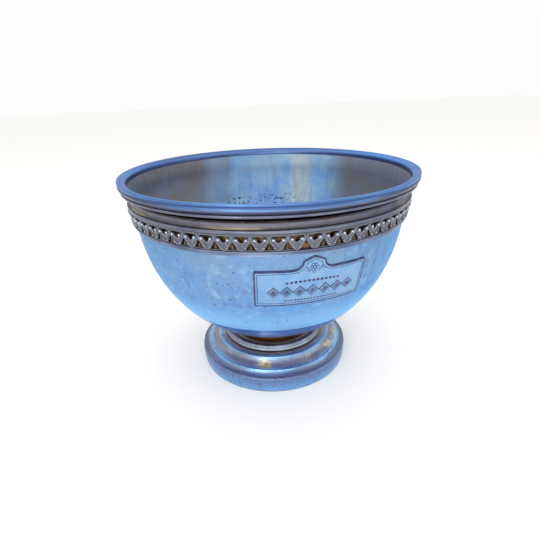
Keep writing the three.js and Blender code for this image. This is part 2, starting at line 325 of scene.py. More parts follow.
class Nodes:
    """A material's node tree, built by calling one short method for each node."""

    def __init__(self, name):
        self.material = bpy.data.materials.new(name)
        self.material.use_nodes = True
        self.tree = self.material.node_tree
        self.shader = self.tree.nodes["Principled BSDF"]
        self.place = self.add("ShaderNodeTexCoord").outputs["Object"]

    def add(self, kind, inputs=None, **settings):
        node = self.tree.nodes.new(kind)
        for key, value in settings.items():
            setattr(node, key, value)
        for key, value in (inputs or {}).items():
            self.put(node.inputs[key], value)
        return node

    def put(self, socket, value):
        if isinstance(value, bpy.types.NodeSocket):
            self.tree.links.new(value, socket)
        else:
            socket.default_value = value

    def math(self, operation, a, b=0.0):
        return self.add("ShaderNodeMath", {0: a, 1: b}, operation=operation).outputs[0]

    def product(self, first, *others):
        for other in others:
            first = self.math("MULTIPLY", first, other)
        return first

    def ramp(self, value, low, high, to_low=0.0, to_high=1.0):
        """A smooth step from to_low at low to to_high at high."""
        inputs = {"Value": value, "From Min": low, "From Max": high, "To Min": to_low, "To Max": to_high}
        return self.add("ShaderNodeMapRange", inputs, interpolation_type="SMOOTHSTEP").outputs[0]

    def within(self, value, start, whole, fading, end):
        """1 from whole to fading, and 0 before start and after end."""
        return self.product(self.ramp(value, start, whole), self.ramp(value, end, fading))

    def noise(self, scale, detail, where=None):
        inputs = {"Vector": where or self.place, "Scale": scale, "Detail": detail, "Roughness": 0.55}
        return self.add("ShaderNodeTexNoise", inputs).outputs["Fac"]

    def patches(self, scale, detail, low, high, where=None):
        """Noise, with its values from low to high spread over 0 to 1."""
        return self.ramp(self.noise(scale, detail, where), low, high)

    def stretched(self, x, y, z):
        inputs = {"Vector": self.place, "Scale": (x, y, z)}
        return self.add("ShaderNodeMapping", inputs).outputs["Vector"]

    def mix(self, factor, a, b):
        node = self.add("ShaderNodeMix", data_type="RGBA")
        self.put(node.inputs[0], factor)
        self.put(node.inputs[6], a)
        self.put(node.inputs[7], b)
        return node.outputs[2]

    def over(self, tone, shade, *shares):
        """The tone with a shade laid over it, by the product of the shares."""
        return self.mix(self.product(*shares), tone, shade)

    def xyz(self):
        return self.add("ShaderNodeSeparateXYZ", {0: self.place}).outputs

    def bands(self, value, stops, unit=MM):
        """Colours along a value. A stop is (value in units, colour), lowest first."""
        low, high = stops[0][0], stops[-1][0]
        inputs = {"Value": value, "From Min": low * unit, "From Max": high * unit}
        share = self.add("ShaderNodeMapRange", inputs).outputs[0]
        node = self.add("ShaderNodeValToRGB", {0: share})
        set_stops(node.color_ramp, [((level - low) / (high - low), tone) for level, tone in stops])
        return node.outputs["Color"]

    def radius(self):
        x, y, _ = self.xyz()
        return self.math("SQRT", self.math("ADD", self.product(x, x), self.product(y, y)))

    def angle(self):
        x, y, _ = self.xyz()
        return self.math("ARCTAN2", y, x)

    def sideways(self):
        """How far a place lies from the axis, along the line across the camera's view on which the painted
        reflections change.
        """
        x, y, _ = self.xyz()
        return self.math("ADD", self.product(x, SIDEWAYS[0]), self.product(y, SIDEWAYS[1]))

    def wavering(self, value, scale, amount):
        """A value that wanders a little from place to place."""
        drift = self.math("SUBTRACT", self.noise(scale, 3.0), 0.5)
        return self.math("ADD", value, self.product(drift, amount))

    def hollow(self, distance):
        """1 deep in a recess and 0 in the open."""
        node = self.add("ShaderNodeAmbientOcclusion", {"Distance": distance}, samples=6)
        return self.math("SUBTRACT", 1.0, node.outputs["AO"])

    def specks(self, scale, size, rarity):
        """Small round spots, most of which are left out."""
        cells = self.add("ShaderNodeTexVoronoi", {"Vector": self.place, "Scale": scale})
        spot = self.ramp(cells.outputs["Distance"], size, size * 0.45)
        lot = self.add("ShaderNodeSeparateColor", {0: cells.outputs["Color"]}).outputs[0]
        return self.product(spot, self.ramp(lot, rarity, rarity + 0.02))

    def bump(self, height, strength, distance, after=None):
        inputs = {"Height": height, "Strength": strength, "Distance": distance}
        if after is not None:
            inputs["Normal"] = after
        return self.add("ShaderNodeBump", inputs).outputs["Normal"]

    def finish(self, **sockets):
        """Fills the shader's sockets, whose names have underscores for spaces, and gives the material."""
        for key, value in sockets.items():
            self.put(self.shader.inputs[key.replace("_", " ")], value)
        return self.material


def colour(red, green, blue):
    """A colour given as 0 to 255 on a screen, as the renderer's linear numbers."""
    linear = [((c / 255 + 0.055) / 1.055) ** 2.4 for c in (red, green, blue)]
    return (*linear, 1.0)


# ---- Materials ----

# SKY, PALE and CLOUDED are blues painted into the silver: a painted reflection of the sky.
SKY = colour(120, 172, 228)
PALE = colour(140, 178, 214)
CLOUDED = colour(98, 140, 200)
DARK_BROWN = colour(40, 27, 16)
INDIGO = colour(58, 54, 92)


def bowl_metal():
    """Satin silver painted blue as a painted sky reflection, with clouds and handling marks, lilac low down
    as a painted reflection of the foot, and brown behind the bands, tarnish with painted shade.
    """
    n = Nodes("bowl_silver")
    z = n.xyz()[2]
    # Blue silver: a painted reflection of the sky.
    tone = n.mix(n.patches(14.0, 4.0, 0.38, 0.62), SKY, PALE)
    streaks = n.patches(1.0, 4.0, 0.42, 0.75, n.stretched(170.0, 170.0, 22.0))
    tone = n.over(tone, CLOUDED, streaks, 0.35)
    runs = n.patches(1.0, 2.0, 0.5, 0.62, n.stretched(60.0, 60.0, 7.0))
    tone = n.over(tone, colour(88, 130, 196), runs, n.ramp(n.sideways(), 0.08, 0.13, 0.0, 0.7))
    tone = n.over(tone, CLOUDED, n.patches(520.0, 3.0, 0.4, 0.72), 0.6)
    tone = n.over(tone, colour(84, 130, 194), n.patches(1100.0, 2.0, 0.35, 0.7), 0.45)
    tone = n.over(tone, colour(96, 150, 220), n.patches(38.0, 6.0, 0.5, 0.62), 0.4)
    tone = n.over(tone, colour(106, 130, 184), n.patches(85.0, 6.0, 0.54, 0.68), 0.55)
    tone = n.over(tone, colour(164, 206, 238), n.patches(110.0, 5.0, 0.52, 0.72), 0.6)
    # Greyer towards the top; brighter and bluer low down, a painted reflection.
    tone = n.over(tone, colour(112, 140, 170), n.ramp(z, 0.15, 0.235, 0.0, 0.55))
    tone = n.over(tone, colour(158, 212, 255), n.ramp(z, 0.165, 0.118, 0.0, 0.85))
    # Lilac bands low down: a painted reflection of the foot in the bowl's underside.
    low = n.ramp(n.wavering(z, 30.0, 0.001), 0.1138, 0.1132)
    stops = [(78.0, colour(176, 178, 214)), (92.0, colour(158, 166, 214)), (96.0, colour(170, 180, 226)),
             (106.0, colour(150, 168, 226)), (110.5, colour(146, 170, 226)), (113.5, colour(104, 142, 200))]
    tone = n.over(tone, n.bands(n.wavering(z, 60.0, 0.004), stops), low)
    spots, small = n.specks(62.0, 0.15, 0.84), n.specks(190.0, 0.26, 0.84)
    tone = n.over(n.over(tone, INDIGO, spots, 0.7), INDIGO, small, 0.7)
    tone = n.over(tone, colour(88, 92, 126), n.within(z, 0.2250, 0.2260, 0.2300, 0.2315), 0.8)
    # Brown and gold behind the gallery: tarnish with painted shade.
    gold = n.mix(n.patches(150.0, 3.0, 0.42, 0.6), colour(70, 52, 32), colour(132, 108, 70))
    tone = n.over(tone, gold, n.within(z, 0.2315, 0.2325, 0.2490, 0.2500))
    # Near black where the rails, cove and lip cover the bowl: painted shade.
    hidden = n.ramp(z, 0.2500, 0.2510)
    tone = n.over(tone, colour(16, 10, 6), hidden)
    rough = n.ramp(n.noise(34.0, 5.0), 0.3, 0.7, 0.36, 0.5)
    rough = n.product(rough, n.math("SUBTRACT", 1.0, n.product(low, 0.55)))
    rough = n.math("MAXIMUM", rough, hidden)
    normal = n.bump(n.noise(9.0, 2.0), 0.2, 0.004)
    normal = n.bump(n.noise(420.0, 4.0), 0.2, 0.0006, normal)
    normal = n.bump(n.product(n.math("MAXIMUM", spots, small), -1.0), 0.5, 0.0005, normal)
    # The blue specular tint is part of the painted sky reflection.
    return n.finish(Base_Color=tone, Metallic=0.97, Roughness=rough, Normal=normal,
                    Specular_Tint=(0.6, 0.82, 1.0, 1.0))


def inner_metal():
    """The inside of the bowl: blue, and brown on two sides, both painted reflections; a bright stretch
    between them with a painted highlight streak; and pits low down.
    """
    n = Nodes("bowl_inner_silver")
    z = n.xyz()[2]
    across = n.wavering(n.math("DIVIDE", n.sideways(), BOWL_RADIUS * MM), 14.0, 0.14)
    left = n.math("ADD", n.ramp(across, -0.34, -0.42, 0.0, 0.4), n.ramp(across, -0.52, -0.66, 0.0, 0.6))
    right = n.ramp(across, 0.52, 0.78)
    # Blue, a painted sky reflection; brown on the two sides and darker on the right, a painted reflection of
    # the surroundings.
    blue = n.mix(n.patches(26.0, 5.0, 0.36, 0.64), colour(126, 184, 246), colour(166, 206, 236))
    brown_side_reflection = n.mix(n.patches(18.0, 4.0, 0.4, 0.6), colour(146, 134, 116), colour(142, 144, 152))
    tone = n.over(blue, brown_side_reflection, n.math("MAXIMUM", left, right))
    tone = n.over(tone, colour(76, 88, 116), right, 0.35)
    # A pale streak: a painted highlight.
    streak_highlight = n.within(n.wavering(n.angle(), 20.0, 0.12), 0.87, 0.95, 1.06, 1.15)
    tone = n.over(tone, colour(214, 222, 206), streak_highlight, 0.6)
    tone = n.over(tone, colour(74, 88, 112), n.ramp(z, 0.225, 0.266, 0.0, 0.45))
    tone = n.over(tone, colour(70, 64, 66), left, n.ramp(z, 0.236, 0.258, 0.0, 0.5))
    streaks = n.patches(1.0, 4.0, 0.45, 0.75, n.stretched(120.0, 120.0, 14.0))
    tone = n.over(tone, colour(118, 134, 170), streaks, 0.4)
    tone = n.over(tone, colour(104, 120, 156), n.patches(420.0, 3.0, 0.4, 0.72), 0.35)
    pits = n.math("MAXIMUM", n.specks(230.0, 0.5, 0.2), n.specks(110.0, 0.3, 0.6))
    low = n.ramp(n.wavering(z, 40.0, 0.03), 0.210, 0.198)
    pitted = n.product(pits, low, n.within(across, -0.5, -0.36, 0.1, 0.5))
    tone = n.over(tone, colour(40, 50, 96), pitted, 0.9)
    rough = n.ramp(n.noise(40.0, 5.0), 0.3, 0.7, 0.42, 0.56)
    normal = n.bump(n.noise(300.0, 4.0), 0.12, 0.0006)
    normal = n.bump(n.product(pitted, -1.0), 0.6, 0.0006, normal)
    return n.finish(Base_Color=tone, Metallic=0.3, Roughness=rough, Normal=normal)


def turned_metal(name, painted, recess=DARK_BROWN, depth=0.003, share=0.8, rough=(0.28, 0.42),
                 rings=0.15, clouded=colour(96, 100, 118), wear_and_glint=0.25):
    """Turned or cast silver. Painted gives its tone; fine rings, blotches and dark recesses go on top, the
    recesses tarnish with painted shade.
    """
    n = Nodes(name)
    tone = painted(n)
    grain = n.noise(1.0, 3.0, n.stretched(60.0, 60.0, 2600.0))
    tone = n.over(tone, clouded, n.ramp(grain, 0.42, 0.75), wear_and_glint)
    tone = n.over(tone, clouded, n.patches(210.0, 5.0, 0.52, 0.75), wear_and_glint)
    # Dark in recesses, found by occlusion: tarnish with painted shade.
    tone = n.over(tone, recess, n.ramp(n.hollow(depth), 0.3, 0.8), share)
    roughness = n.ramp(n.noise(55.0, 5.0), 0.3, 0.7, *rough)
    normal = n.bump(grain, rings, 0.0005)
    normal = n.bump(n.noise(380.0, 3.0), 0.08, 0.0006, normal)
    return n.finish(Base_Color=tone, Metallic=0.9, Roughness=roughness, Normal=normal)


def two_tones(first, second, scale=30.0):
    return lambda n: n.mix(n.patches(scale, 4.0, 0.35, 0.65), first, second)


def lip_tones(n):
    """Painted reflections and shade: blue on top for the sky, a dark line under the ridge for the horizon,
    brown grey below it for the ground and the shade beneath; duller at the back.
    """
    _, y, z = n.xyz()
    height = n.wavering(z, 25.0, 0.0005)
    stops = [(270.6, colour(94, 86, 94)), (272.6, colour(100, 98, 114)), (273.6, colour(98, 110, 142)),
             (274.7, colour(96, 126, 174)), (276.2, colour(88, 120, 170)), (277.0, colour(64, 90, 144)),
             (278.1, colour(58, 84, 140)), (279.2, colour(80, 116, 166)), (281.0, colour(92, 132, 182))]
    outside = n.bands(height, stops)
    aside = n.math("ABSOLUTE", n.sideways())
    # The ends below the ridge darker: a painted reflection.
    dark_side_reflection = n.product(n.ramp(aside, 0.085, 0.125), n.ramp(height, 0.2780, 0.2768))
    outside = n.over(outside, colour(76, 76, 92), dark_side_reflection, 0.75)
    radius = n.wavering(n.radius(), 30.0, 0.0008)
    stops = [(179.3, colour(60, 76, 116)), (180.0, colour(76, 106, 164)), (181.2, colour(104, 154, 208)),
             (183.0, colour(96, 142, 196)), (185.5, colour(82, 120, 172)), (187.2, colour(82, 120, 170))]
    slope = n.bands(radius, stops)
    # The inner slope darker at the front: a painted reflection.
    slope = n.over(slope, colour(68, 108, 160), n.ramp(y, -0.08, -0.15, 0.0, 0.5))
    tone = n.mix(n.ramp(n.radius(), 0.1868, 0.1874), slope, outside)
    # The ends bluer above the ridge and the back duller: painted reflections.
    side = n.product(n.ramp(aside, 0.09, 0.16, 0.0, 0.6), n.ramp(height, 0.2760, 0.2775))
    tone = n.over(tone, colour(60, 128, 212), side)
    back = n.mix(n.ramp(radius, 0.1806, 0.1822), colour(86, 110, 158), colour(62, 92, 144))
    return n.over(tone, back, n.ramp(y, 0.02, 0.15, 0.0, 0.9))


def cove_tones(n):
    """Brown grey and scratched, darker up to its top with tarnish and painted shade, bluer to one side as a
    painted reflection, and with warm painted highlights on its lower edge in places.
    """
    height = n.wavering(n.xyz()[2], 60.0, 0.001)
    # Darker up to the top edge: tarnish with painted shade.
    stops = [(254.2, colour(106, 102, 102)), (255.4, colour(112, 110, 112)), (256.2, colour(104, 102, 108)),
             (258.5, colour(118, 120, 134)), (259.8, colour(108, 110, 120)), (260.6, colour(64, 50, 42)),
             (262.6, colour(34, 23, 16))]
    tone = n.bands(height, stops)
    # Warm glints on the lower edge, at the front and here and there: painted highlights.
    front_glint = n.within(n.wavering(n.angle(), 30.0, 0.1), -2.23, -2.10, -1.92, -1.84)
    wear_and_glint = n.math("MAXIMUM", front_glint, n.patches(9.0, 2.0, 0.56, 0.66))
    # Bluer grey to one side: a painted reflection.
    tone = n.over(tone, colour(82, 92, 116), n.ramp(n.sideways(), 0.06, 0.12, 0.0, 0.6))
    tone = n.over(tone, colour(86, 66, 48), n.patches(60.0, 5.0, 0.5, 0.68), 0.5)
    return n.over(tone, colour(184, 168, 138), n.ramp(height, 0.2562, 0.2550), wear_and_glint)


def relief_tones(n):
    """Brown in the depths, tarnish with painted shade; grey on the flat; near white on the highest work,
    polish wear with a painted highlight.
    """
    relief = n.add("ShaderNodeAttribute", attribute_name="relief").outputs["Fac"]
    # Near white on top: partly polish wear, partly a painted highlight; brown below: tarnish with painted
    # shade.
    stops = [(-2.0, colour(64, 46, 30)), (-0.7, colour(100, 84, 64)), (-0.15, colour(98, 98, 106)),
             (0.4, colour(124, 130, 144)), (1.1, colour(168, 178, 198)), (1.8, colour(216, 230, 246))]
    return n.bands(n.wavering(relief, 260.0, 0.7), stops, 1)


def neck_tones(n):
    """Golden brown in its hollow, painted shade with a warm painted reflection, and a painted glint here and
    there.
    """
    z = n.xyz()[2]
    stops = [(45.0, colour(170, 166, 166)), (46.8, colour(168, 158, 146)), (47.6, colour(110, 78, 44)),
             (50.0, colour(84, 50, 16)), (53.0, colour(110, 74, 32)), (55.4, colour(86, 60, 32)),
             (58.0, colour(66, 46, 28)), (60.5, colour(80, 68, 78))]
    # A golden line near the top: a painted highlight.
    glint = n.product(n.within(z, 0.0518, 0.0528, 0.0538, 0.0548), n.patches(26.0, 1.0, 0.46, 0.58))
    return n.over(n.bands(z, stops), colour(208, 160, 76), glint, 0.8)


def dome_tones(n):
    """Painted highlights: bright cyan edges between grey hollows, and warm golden glints in brassy spots."""
    radius = n.wavering(n.radius(), 34.0, 0.0022)
    # Cyan bands on the two edges: painted highlights.
    stops = [(73.5, colour(130, 112, 100)), (76.0, colour(160, 156, 162)), (78.6, colour(140, 164, 196)),
             (80.0, colour(142, 194, 240)), (82.6, colour(142, 190, 234)), (84.8, colour(150, 160, 178)),
             (92.4, colour(158, 164, 176)), (94.6, colour(160, 192, 224)), (96.2, colour(150, 208, 252)),
             (99.2, colour(142, 194, 240)), (101.0, colour(114, 134, 170)), (104.0, colour(110, 124, 160)),
             (107.2, colour(104, 118, 152)), (108.3, colour(132, 150, 190))]
    tone = n.over(n.bands(radius, stops), colour(112, 112, 118), n.patches(24.0, 3.0, 0.45, 0.62), 0.35)
    # Warm glints at the front and here and there: painted highlights.
    front_glint = n.within(n.angle(), -2.12, -2.00, -1.93, -1.84)
    elsewhere = n.product(n.patches(14.0, 1.0, 0.62, 0.70), 0.5)
    warm_glint = n.product(n.within(radius, 0.0835, 0.0880, 0.0930, 0.0975), n.math("MAXIMUM", front_glint, elsewhere))
    tone = n.over(tone, colour(236, 206, 128), warm_glint, 0.85)
    return n.over(tone, colour(255, 252, 214), warm_glint, n.patches(150.0, 3.0, 0.42, 0.54))


def skirt_tones(n):
    """Blue as a painted sky reflection, bluer towards the floor, mottled, with a few dark specks."""
    height = n.wavering(n.xyz()[2], 40.0, 0.002)
    stops = [(0.0, colour(126, 174, 220)), (4.0, colour(122, 170, 218)), (9.0, colour(112, 152, 202)),
             (15.0, colour(106, 128, 174)), (19.6, colour(98, 108, 146)), (21.3, colour(122, 134, 172))]
    tone = n.over(n.bands(height, stops), colour(98, 106, 140), n.patches(120.0, 5.0, 0.46, 0.66), 0.45)
    tone = n.over(tone, colour(150, 198, 240), n.patches(700.0, 2.0, 0.45, 0.62), 0.5)
    return n.over(tone, INDIGO, n.specks(110.0, 0.2, 0.9), 0.7)


def steel():
    """Plain grey steel for the foot's fixing."""
    n = Nodes("fixing_steel")
    tone = n.mix(n.patches(180.0, 4.0, 0.4, 0.65), colour(150, 152, 158), colour(110, 108, 110))
    normal = n.bump(n.noise(500.0, 3.0), 0.1, 0.0005)
    return n.finish(Base_Color=tone, Metallic=1.0, Roughness=0.42, Normal=normal)


def patina_and_shade():
    """The dark line beside raised work: patina with painted shade."""
    n = Nodes("dark_patina_and_shade")
    tone = n.mix(n.patches(120.0, 4.0, 0.4, 0.65), colour(54, 54, 92), colour(84, 86, 128))
    return n.finish(Base_Color=tone, Metallic=0.5, Roughness=0.6)


bead_tones = two_tones(colour(122, 128, 148), colour(100, 104, 124))
top_rail_tones = two_tones(colour(120, 126, 138), colour(96, 102, 122))
# The low rail's and the plaque's blues are a painted sky reflection.
low_rail_tones = two_tones(colour(134, 148, 180), colour(104, 114, 146))
plaque_tones = two_tones(colour(122, 168, 216), colour(138, 176, 212), 60.0)
ring_tones = two_tones(colour(160, 172, 186), colour(126, 134, 148), 60.0)

bowl_silver = bowl_metal()
inner_silver = inner_metal()
lip_silver = turned_metal("lip_silver", lip_tones, INDIGO, share=0.5, wear_and_glint=0.2, clouded=colour(80, 112, 176))
bead_silver = turned_metal("bead_silver", bead_tones)
cove_silver = turned_metal("cove_silver", cove_tones, rough=(0.34, 0.5), rings=0.6, wear_and_glint=0.6, depth=0.004)
rail_silver = turned_metal("rail_silver", top_rail_tones, depth=0.002)
low_rail_silver = turned_metal("low_rail_silver", low_rail_tones, depth=0.002)
cast_silver = turned_metal("cast_silver", relief_tones, depth=0.0025, rings=0.0, wear_and_glint=0.35)
plaque_silver = turned_metal("plaque_silver", plaque_tones, INDIGO, depth=0.0015, share=0.7,
                             rough=(0.36, 0.48), rings=0.05, clouded=CLOUDED, wear_and_glint=0.4)
foot_silver = turned_metal("foot_silver", dome_tones, depth=0.006, rough=(0.26, 0.4), share=0.3, wear_and_glint=0.55)
neck_silver = turned_metal("neck_silver", neck_tones, colour(70, 40, 12), depth=0.006, share=0.5, wear_and_glint=0.1)
ring_silver = turned_metal("ring_silver", ring_tones, colour(60, 48, 38), share=0.5)
base_silver = turned_metal("base_silver", skirt_tones, INDIGO, rough=(0.3, 0.44), clouded=CLOUDED, wear_and_glint=0.35)
fixing_steel = steel()
dark_patina_and_shade = patina_and_shade()


# ---- Bowl ----

# Small dents: (azimuth from the plaque in degrees, height, radius, depth)
DENTS = [
    (-18, 220, 2.4, 0.8),
    (-27, 226, 4.0, 0.4),
    (12, 141, 4.5, 0.5),
    (-48, 170, 9.0, 0.7),
    (-75, 205, 12.0, 0.8),
    (40, 200, 6.0, 0.4),
    (66, 150, 14.0, 0.9),
    (110, 190, 10.0, 0.8),
    (150, 130, 12.0, 0.9),
    (-120, 160, 11.0, 0.8),
    (-160, 210, 8.0, 0.6),
]


# The wall's gentle unevenness: (size, depth)
WAVES = [(38, 0.18), (14, 0.1)]


def dent_at(point):
    """How far the wall is pushed in at a point."""
    push = sum(depth * noise.noise(point / size) for size, depth in WAVES)
    for azimuth, height, size, depth in DENTS:
        angle = FRONT + math.radians(azimuth)
        radius = bowl_radius(height)
        centre = Vector((radius * math.cos(angle), radius * math.sin(angle), height))
        push += depth * math.exp(-((centre - point).length / size) ** 2)
    return push


def dented(solid):
    """The solid with its vertices pushed in by the dents, and less so near the axis."""
    vertices = []
    for x, y, z in solid[0]:
        radius = math.hypot(x, y)
        keep = 1 if radius < 1e-6 else 1 - dent_at(Vector((x, y, z))) / radius * min(1, radius / 30)
        vertices.append((x * keep, y * keep, z))
    return vertices, solid[1]


def shell_side(inset):
    """The bowl's wall from its bottom centre up to its top edge, moved in by an inset."""
    points = []
    for angle in (math.pi / 2 * i / WALL_STEPS for i in range(WALL_STEPS + 1)):
        radius = (BOWL_RADIUS - inset) * math.sin(angle) ** (2 / BOWL_FULLNESS)
        drop = (BOWL_DEPTH - inset) * math.cos(angle) ** (2 / BOWL_FULLNESS)
        points.append((radius, BOWL_EQUATOR - drop))
    for height in np.linspace(FLARE_START, SHELL_TOP, 9):
        points.append((bowl_radius(height) - inset, float(height)))
    return points


def open_lathe(profile):
    """A profile that starts on the axis, turned about Z."""
    vertices = [(0, 0, profile[0][1])]
    count = len(profile) - 1
    for i in range(TURN_STEPS):
        angle = 2 * math.pi * i / TURN_STEPS
        vertices += [(r * math.cos(angle), r * math.sin(angle), z) for r, z in profile[1:]]
    faces = []
    for i in range(TURN_STEPS):
        a, b = 1 + i * count, 1 + ((i + 1) % TURN_STEPS) * count
        faces.append((0, a, b))
        faces += [(a + k, b + k, b + k + 1, a + k + 1) for k in range(count - 1)]
    return vertices, faces


def make_bowl():
    """The shell's two sides joined at the top edge, each with its own metal."""
    outer, inner = shell_side(0), shell_side(BOWL_WALL)
    outside = dented(open_lathe(outer))
    inside = dented(open_lathe(inner))
    vertices, faces = joined(outside, inside)
    base = len(outside[0])
    column = len(outer) - 1  # vertices in each column, on either side
    for i in range(TURN_STEPS):
        a, b = (i + 1) * column, ((i + 1) % TURN_STEPS + 1) * column
        faces.append((a, b, base + b, base + a))
    bowl = piece_from("bowl", vertices, faces, bowl_silver, "bowl_silver")
    bowl.data.materials.append(inner_silver)
    for face in bowl.data.polygons:
        across = Vector((face.center.x, face.center.y, face.center.z - BOWL_EQUATOR * MM))
        face.material_index = 1 if face.normal.dot(across) < 0 else 0
    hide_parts("bowl_shell")


def make_rim():
    edge = bowl_radius(SHELL_TOP)
    centre, height = RIM_RADIUS - RIDGE_ROUND, RIM_TOP - RIDGE_ROUND
    outline = [
        (edge + 0.9, SHELL_TOP - 1.4),
        (187.0, SHELL_TOP - 1.4),
        *arc(186.4, 274.7, 3.5, 2.9, -62, 45, 12),
        (188.9, 277.8),
        *arc(centre, height, RIDGE_ROUND, RIDGE_ROUND, -30, 120, 14),
        (185.6, 280.5), (183.6, 279.8), (181.9, 279.0), (180.6, 278.1), (179.8, 277.1),
        (edge - BOWL_WALL, 276.0),
        (edge - BOWL_WALL, SHELL_TOP + 0.3),
        (edge + 0.9, SHELL_TOP + 0.3),
    ]
    lip = piece_from("lip", *dented(lathe(outline)), lip_silver, "trim_silver", 50)
    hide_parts("rim_lip")
    low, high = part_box("rim_bead")[0].z / MM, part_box("rim_bead")[1].z / MM
    middle = (low + high) / 2
    outline = [(182, low), *arc(185.2, middle, 2.4, (high - low) / 2, -90, 90, 14), (182, high)]
    bead = piece_from("bead", *lathe(outline), bead_silver, "trim_silver", 50)
    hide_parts("rim_bead")


def make_cove():
    low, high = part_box("cove_band")[0].z / MM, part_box("cove_band")[1].z / MM
    hollow = [(180.6, low), (179.4, low + 0.8), (178.7, low + 2.0), (178.3, low + 3.8)]
    hollow += [(178.5, low + 5.4), (179.2, low + 7.0), (180.2, high)]
    back = [(bowl_radius(h) + 0.4, h) for h in (high, 260.0, 257.0, low)]
    gap = SEAM_GAP / GALLERY_TOP_RADIUS
    start = FRONT + math.radians(SEAM_AZIMUTH) + gap / 2
    band = lathe([*hollow, *back], start, 2 * math.pi - gap)
    cove = piece_from("cove", *band, cove_silver, "aged_silver", 50)
    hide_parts("cove_band")


# ---- Gallery ----

PITCH = 2 * math.pi / MOTIFS
GALLERY_RADIUS = 180  # where the pattern is drawn at its true width
MOTIF = GALLERY_RADIUS * PITCH
BAND = GALLERY_TOP - GALLERY_BOTTOM
PLATE_THICKNESS = 1.9
QUARTER_GAP = 0.15  # at each end of a quarter strip

# The right half of the opening between two hearts, upwards, as (across, height)
WINDOW_SIDE = [(5.7, 1.1), (5.2, 1.9), (3.2, 4.4), (1.6, 7.2), (0.5, 9.0)]


def brow_window(x):
    """The winged opening over a heart's two lobes."""
    right = [(x, 8.6), *arc(x + 4.7, 11.6, 2.35, 2.35, 205, 62, 8)]
    right += [(x + 6.9, 14.5), (x + 6.2, 15.2), (x + 2.5, 15.4)]
    left = [(2 * x - px, py) for px, py in reversed(right[1:])]
    return right + left


def foot_window(x):
    """The three-sided opening between two hearts."""
    right = [(x + across, height) for across, height in WINDOW_SIDE]
    return right + [(x - across, height) for across, height in reversed(WINDOW_SIDE)]


def heart_relief(x):
    """The raised work of one heart: two ridged straps, two scrolls, their bosses and pearls."""
    strap = [(0.5, 0.1), (1.7, 1.9), (3.4, 4.6), (5.2, 7.4), (6.9, 10.4), (8.1, 13.2), (8.5, 15.6)]
    inner = [(0.1, 2.4), (1.4, 4.2), (3.0, 6.6), (4.9, 9.0), (6.6, 10.9), (7.5, 13.0), (7.6, 14.6)]
    inner_radii = [0.25, 0.4, 0.42, 0.42, 0.42, 0.36, 0.25]
    scroll = [(0.5, 4.9), (1.6, 6.4), (2.6, 8.2), (3.5, 9.9), (4.4, 11.2), (4.9, 11.8)]
    scroll_radii = [0.3, 0.6, 0.85, 1.0, 1.0, 0.6]
    solids = []
    for sign in (1, -1):
        solids.append(tube([(sign * u, v) for u, v in strap], [0.5] * len(strap), 8, 1.3, 0.1))
        solids.append(tube([(sign * u, v) for u, v in inner], inner_radii, 8, 1.2))
        solids.append(tube([(sign * u, v) for u, v in scroll], scroll_radii, 8, 0.6))
        solids.append(pearl(sign * 4.75, 11.9, 1.75, 1.45, 1.9, 0.0, sign * 0.3, 8, 14))
        solids.append(pearl(sign * 3.9, 3.3, 1.35, 0.85, 1.5, -0.2, sign * 0.9))
    return moved(joined(*solids), x)


def leaf_relief(x):
    """The small bud in an opening between two hearts, low against the bowl."""
    stem = tube([(0, 0.6), (0, 3.0), (0, 5.4), (0, 6.6)], [0.55, 0.9, 0.65, 0.2], 8, 0.6, -0.9)
    left = tube([(-0.2, 1.4), (-1.5, 2.6), (-2.4, 4.0)], [0.4, 0.6, 0.2], 6, 0.6, -1.1)
    right = moved(left, mirror=True)
    return moved(joined(stem, left, right), x)


def gallery_place(turn):
    """Wraps a strip about the bowl from the angle turn, leaning out towards its top."""

    def place(across, height, out):
        share = height / BAND
        radius = GALLERY_BOTTOM_RADIUS + (GALLERY_TOP_RADIUS - GALLERY_BOTTOM_RADIUS) * share
        return radius + out, turn + across / GALLERY_RADIUS, GALLERY_BOTTOM + height

    return place


def make_gallery():
    """Four alike quarter strips, each of which starts and ends in the middle of a three-sided opening."""
    count = MOTIFS // QUARTERS
    length = count * MOTIF
    steps = count * 6
    foot, top = WINDOW_SIDE[0][0], WINDOW_SIDE[-1][1]
    side = [(foot, 0.0), *WINDOW_SIDE, (QUARTER_GAP, top)]
    rim = [(x, 0.0) for x in np.linspace(foot, length - foot, steps)[1:-1]]
    rim += [(length - x, y) for x, y in side]
    rim += [(x, BAND) for x in np.linspace(length - QUARTER_GAP, QUARTER_GAP, steps + 1)]
    rim += list(reversed(side))
    windows = [brow_window((i + 0.5) * MOTIF) for i in range(count)]
    windows += [foot_window(i * MOTIF) for i in range(1, count)]
    strip = gridded(plate([rim, *windows], PLATE_THICKNESS, 0.28), MOTIF / 6)
    hearts = [heart_relief((i + 0.5) * MOTIF) for i in range(count)]
    leaves = [leaf_relief(i * MOTIF) for i in range(1, count)]
    flat = joined(strip, *hearts, *leaves)
    relief = [out for _, _, out in flat[0]]
    for quarter in range(QUARTERS):
        turn = FRONT + math.radians(GALLERY_PHASE) + (quarter * count - 0.5) * PITCH
        band = bent(flat, gallery_place(turn))
        segment = piece_from(f"gallery_{quarter + 1}", *band, cast_silver, "aged_silver", 40, relief)
        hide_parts(f"gallery_segment_{quarter + 1}")


